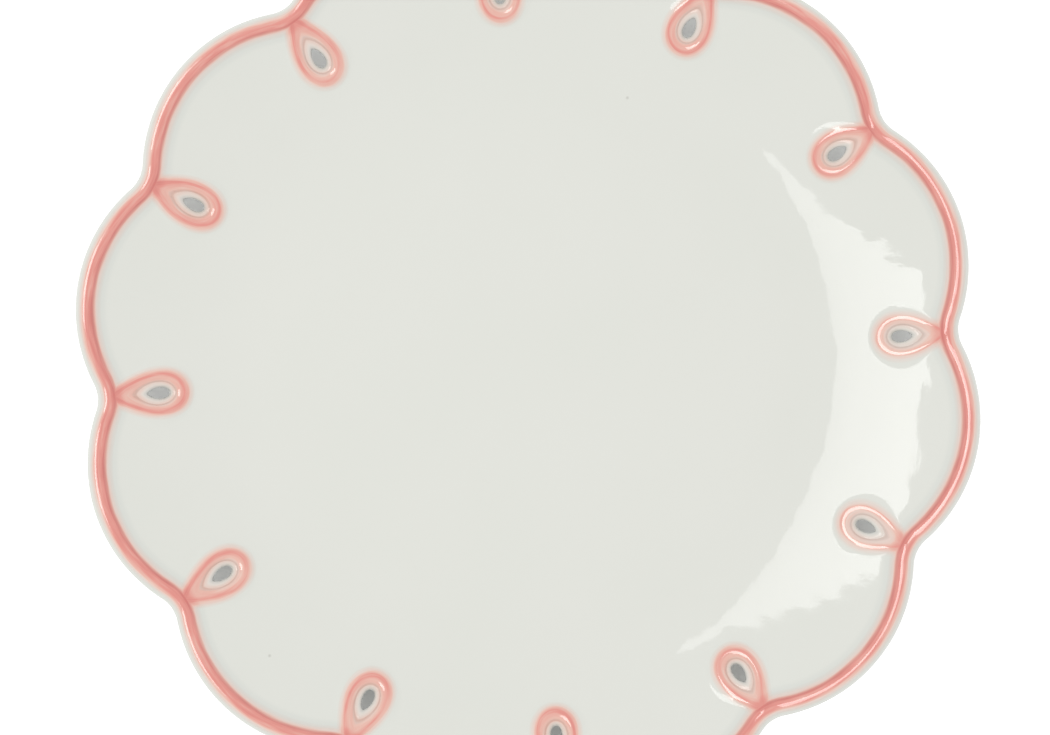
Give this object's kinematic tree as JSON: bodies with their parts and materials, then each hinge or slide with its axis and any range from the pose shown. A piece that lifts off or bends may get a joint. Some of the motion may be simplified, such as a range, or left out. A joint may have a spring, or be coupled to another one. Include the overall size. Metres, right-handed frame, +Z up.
{
  "type": "scalloped lunch plate",
  "caption": "Shallow round ceramic plate with a scalloped rim, raised edge cords, a small pierced loop in each notch and a foot ring to stand on.",
  "frame": {"origin": "centre of the foot ring's resting face, on the surface that the plate stands on", "axes": "+Z up along the plate's axis, out of the well; +X through a notch between two scallops and the loop in it"},
  "size_m": [0.2248, 0.2248, 0.0209],
  "materials": {
    "white_glaze": "gloss",
    "pink_slip": "gloss",
    "bare_clay": "matte"
  },
  "bodies": {
    "root": {"plate_body": "white_glaze", "foot_ring": "bare_clay", "edge_cord_01": "pink_slip", "edge_cord_02": "pink_slip", "edge_cord_03": "pink_slip", "edge_cord_04": "pink_slip", "edge_cord_05": "pink_slip", "edge_cord_06": "pink_slip", "edge_cord_07": "pink_slip", "edge_cord_08": "pink_slip", "edge_cord_09": "pink_slip", "edge_cord_10": "pink_slip", "edge_cord_11": "pink_slip", "edge_cord_12": "pink_slip", "loop_01": "pink_slip", "loop_02": "pink_slip", "loop_03": "pink_slip", "loop_04": "pink_slip", "loop_05": "pink_slip", "loop_06": "pink_slip", "loop_07": "pink_slip", "loop_08": "pink_slip", "loop_09": "pink_slip", "loop_10": "pink_slip", "loop_11": "pink_slip", "loop_12": "pink_slip"}
  },
  "joints": []
}
